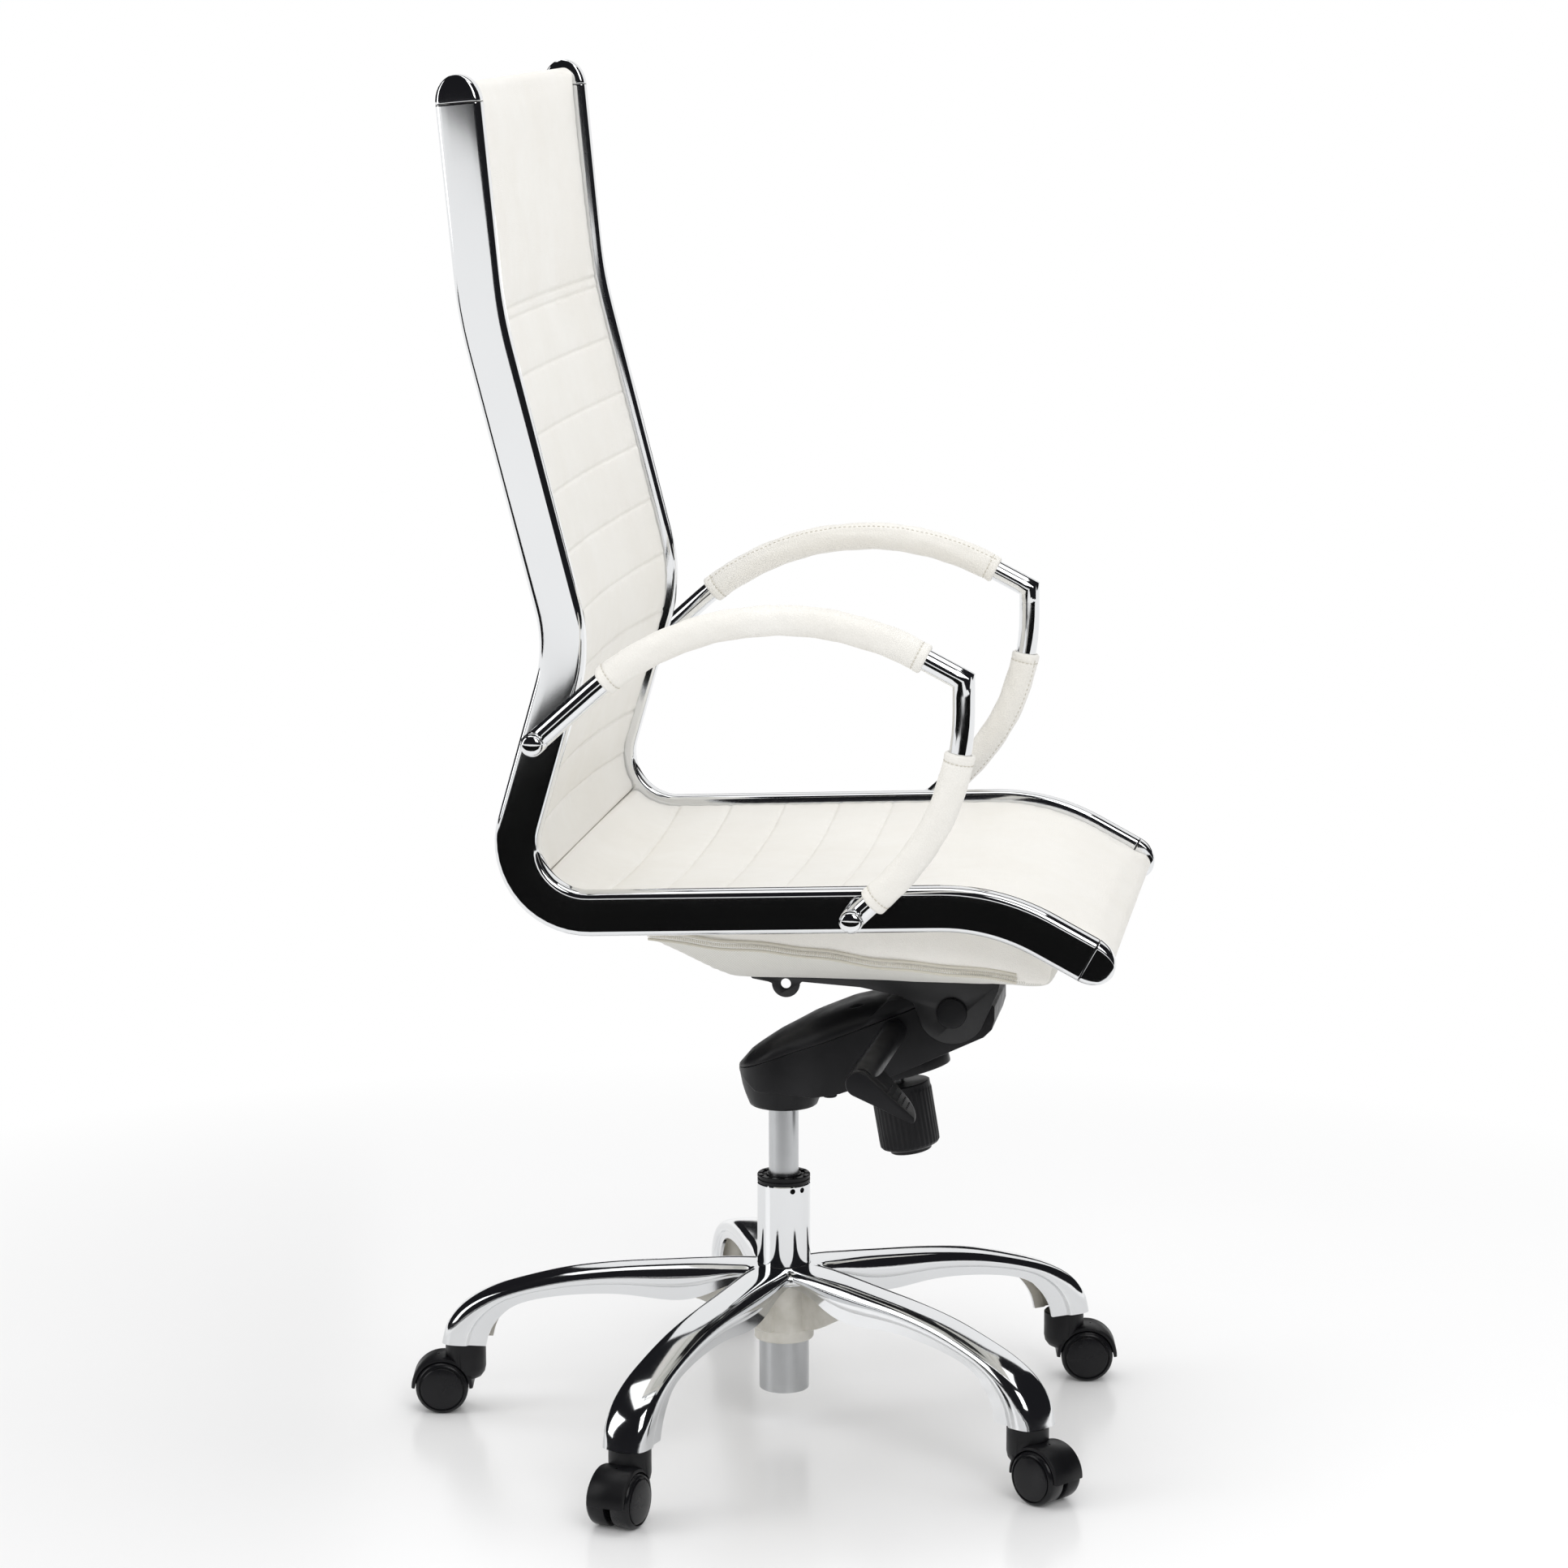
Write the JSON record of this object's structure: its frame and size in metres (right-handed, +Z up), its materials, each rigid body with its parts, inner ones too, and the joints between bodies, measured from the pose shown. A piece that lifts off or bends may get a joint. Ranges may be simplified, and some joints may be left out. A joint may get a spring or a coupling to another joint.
{
  "type": "swivel office chair",
  "caption": "High-back swivel office chair: padded sling seat between chromed side rails, wrapped arms, tilt mechanism, gas lift and star base on twin-wheel casters.",
  "frame": {"origin": "on the floor, under the middle of the chair", "axes": "+Z up, +X to the front of the chair, +Y to the sitter's left"},
  "size_m": [0.6928, 0.6952, 1.2727],
  "materials": {
    "base_casting": "polished",
    "chrome": "polished",
    "black_plastic": "satin",
    "bronze": "satin",
    "satin_steel": "satin",
    "black_steel": "satin",
    "plywood": "matte",
    "foam_leather": "satin",
    "lining": "matte",
    "leather": "satin",
    "tread": "satin"
  },
  "bodies": {
    "base": {"base_star": "base_casting", "column_tube": "chrome", "tube_bush": "black_plastic", "thrust_bearing": "bronze", "caster_stem_1": "satin_steel", "caster_stem_2": "satin_steel", "caster_stem_3": "satin_steel", "caster_stem_4": "satin_steel", "caster_stem_5": "satin_steel"},
    "lift_rod": {"piston_rod": "satin_steel"},
    "mechanism": {"gas_cylinder": "satin_steel", "mechanism_tray": "black_plastic", "mechanism_cover": "black_plastic", "pivot_shaft": "satin_steel", "tilt_spring": "satin_steel"},
    "knob": {"tension_knob": "black_plastic", "tension_bolt": "satin_steel"},
    "lever_slide": {"lever_bush": "black_plastic"},
    "lever": {"lever_rod": "satin_steel", "lever_handle": "black_plastic"},
    "release_pin": {"release_pin": "satin_steel"},
    "seat": {"seat_plate": "black_steel", "pivot_cap_left": "black_plastic", "pivot_cap_right": "black_plastic", "rail_left": "chrome", "rail_right": "chrome", "rail_cap_front_left": "chrome", "rail_cap_top_left": "chrome", "rail_cap_front_right": "chrome", "rail_cap_top_right": "chrome", "seat_board": "plywood", "back_board": "plywood", "seat_pad": "foam_leather", "back_pad": "foam_leather", "under_cover": "lining", "arm_tube_left": "chrome", "arm_tube_right": "chrome", "arm_sleeve_top_left": "leather", "arm_sleeve_front_left": "leather", "arm_sleeve_top_right": "leather", "arm_sleeve_front_right": "leather", "arm_cap_rear_left": "chrome", "arm_cap_front_left": "chrome", "arm_cap_rear_right": "chrome", "arm_cap_front_right": "chrome"},
    "caster_1": {"caster_hood_1": "black_plastic"},
    "wheel_1_left": {"caster_wheel_1_left": "tread"},
    "wheel_1_right": {"caster_wheel_1_right": "tread"},
    "caster_2": {"caster_hood_2": "black_plastic"},
    "wheel_2_left": {"caster_wheel_2_left": "tread"},
    "wheel_2_right": {"caster_wheel_2_right": "tread"},
    "caster_3": {"caster_hood_3": "black_plastic"},
    "wheel_3_left": {"caster_wheel_3_left": "tread"},
    "wheel_3_right": {"caster_wheel_3_right": "tread"},
    "caster_4": {"caster_hood_4": "black_plastic"},
    "wheel_4_left": {"caster_wheel_4_left": "tread"},
    "wheel_4_right": {"caster_wheel_4_right": "tread"},
    "caster_5": {"caster_hood_5": "black_plastic"},
    "wheel_5_left": {"caster_wheel_5_left": "tread"},
    "wheel_5_right": {"caster_wheel_5_right": "tread"}
  },
  "joints": [
    {"name": "seat_swivel", "type": "hinge", "parent": "base", "child": "lift_rod", "pos_m": [0.01524, 0, 0.2358], "axis": [0, 0, 1], "continuous": true},
    {"name": "seat_height", "type": "slide", "parent": "lift_rod", "child": "mechanism", "axis": [0, 0, 1], "range_m": [-0.045, 0.035]},
    {"name": "seat_tilt", "type": "hinge", "parent": "mechanism", "child": "seat", "pos_m": [0.17974, 0, 0.4156], "axis": [0, -1, 0], "range_deg": [0, 12], "stiffness_Nm_per_rad": 60, "springref_deg": -40.11},
    {"name": "tension_knob_turn", "type": "hinge", "parent": "mechanism", "child": "knob", "pos_m": [0.12524, 0, 0.3351], "axis": [0.165, 0, -0.9863], "continuous": true},
    {"name": "tilt_lock_pull", "type": "slide", "parent": "mechanism", "child": "lever_slide", "axis": [0, -1, 0], "range_m": [0, 0.01]},
    {"name": "lever_lift", "type": "hinge", "parent": "lever_slide", "child": "lever", "pos_m": [0.12724, 0, 0.3981], "axis": [0, -1, 0], "range_deg": [0, 12], "stiffness_Nm_per_rad": 0.6, "springref_deg": -11.46},
    {"name": "release_pin_press", "type": "slide", "parent": "mechanism", "child": "release_pin", "axis": [0, 0, -1], "range_m": [0, 0.003]},
    {"name": "caster_swivel_1", "type": "hinge", "parent": "base", "child": "caster_1", "pos_m": [0.26441, -0.18104, 0.0675], "axis": [0, 0, 1], "continuous": true},
    {"name": "wheel_spin_1_left", "type": "hinge", "parent": "caster_1", "child": "wheel_1_left", "pos_m": [0.28221, -0.19397, 0.025], "axis": [0.5878, 0.809, 0], "continuous": true},
    {"name": "wheel_spin_1_right", "type": "hinge", "parent": "caster_1", "child": "wheel_1_right", "pos_m": [0.28221, -0.19397, 0.025], "axis": [0.5878, 0.809, 0], "continuous": true},
    {"name": "caster_swivel_2", "type": "hinge", "parent": "base", "child": "caster_2", "pos_m": [0.26441, 0.18104, 0.0675], "axis": [0, 0, 1], "continuous": true},
    {"name": "wheel_spin_2_left", "type": "hinge", "parent": "caster_2", "child": "wheel_2_left", "pos_m": [0.28617, 0.18429, 0.025], "axis": [-0.1478, 0.989, 0], "continuous": true},
    {"name": "wheel_spin_2_right", "type": "hinge", "parent": "caster_2", "child": "wheel_2_right", "pos_m": [0.28617, 0.18429, 0.025], "axis": [-0.1478, 0.989, 0], "continuous": true},
    {"name": "caster_swivel_3", "type": "hinge", "parent": "base", "child": "caster_3", "pos_m": [-0.07994, 0.29292, 0.0675], "axis": [0, 0, 1], "continuous": true},
    {"name": "wheel_spin_3_left", "type": "hinge", "parent": "caster_3", "child": "wheel_3_left", "pos_m": [-0.08637, 0.31396, 0.025], "axis": [-0.9563, -0.2924, 0], "continuous": true},
    {"name": "wheel_spin_3_right", "type": "hinge", "parent": "caster_3", "child": "wheel_3_right", "pos_m": [-0.08637, 0.31396, 0.025], "axis": [-0.9563, -0.2924, 0], "continuous": true},
    {"name": "caster_swivel_4", "type": "hinge", "parent": "base", "child": "caster_4", "pos_m": [-0.29276, 0, 0.0675], "axis": [0, 0, 1], "continuous": true},
    {"name": "wheel_spin_4_left", "type": "hinge", "parent": "caster_4", "child": "wheel_4_left", "pos_m": [-0.31455, -0.00306, 0.025], "axis": [0.1392, -0.9903, 0], "continuous": true},
    {"name": "wheel_spin_4_right", "type": "hinge", "parent": "caster_4", "child": "wheel_4_right", "pos_m": [-0.31455, -0.00306, 0.025], "axis": [0.1392, -0.9903, 0], "continuous": true},
    {"name": "caster_swivel_5", "type": "hinge", "parent": "base", "child": "caster_5", "pos_m": [-0.07994, -0.29292, 0.0675], "axis": [0, 0, 1], "continuous": true},
    {"name": "wheel_spin_5_left", "type": "hinge", "parent": "caster_5", "child": "wheel_5_left", "pos_m": [-0.08637, -0.31396, 0.025], "axis": [0.9563, -0.2924, 0], "continuous": true},
    {"name": "wheel_spin_5_right", "type": "hinge", "parent": "caster_5", "child": "wheel_5_right", "pos_m": [-0.08637, -0.31396, 0.025], "axis": [0.9563, -0.2924, 0], "continuous": true}
  ],
  "couplings": [
    {"joint": "release_pin_press", "follows": "lever_lift", "m_per_rad": 0.014323}
  ]
}
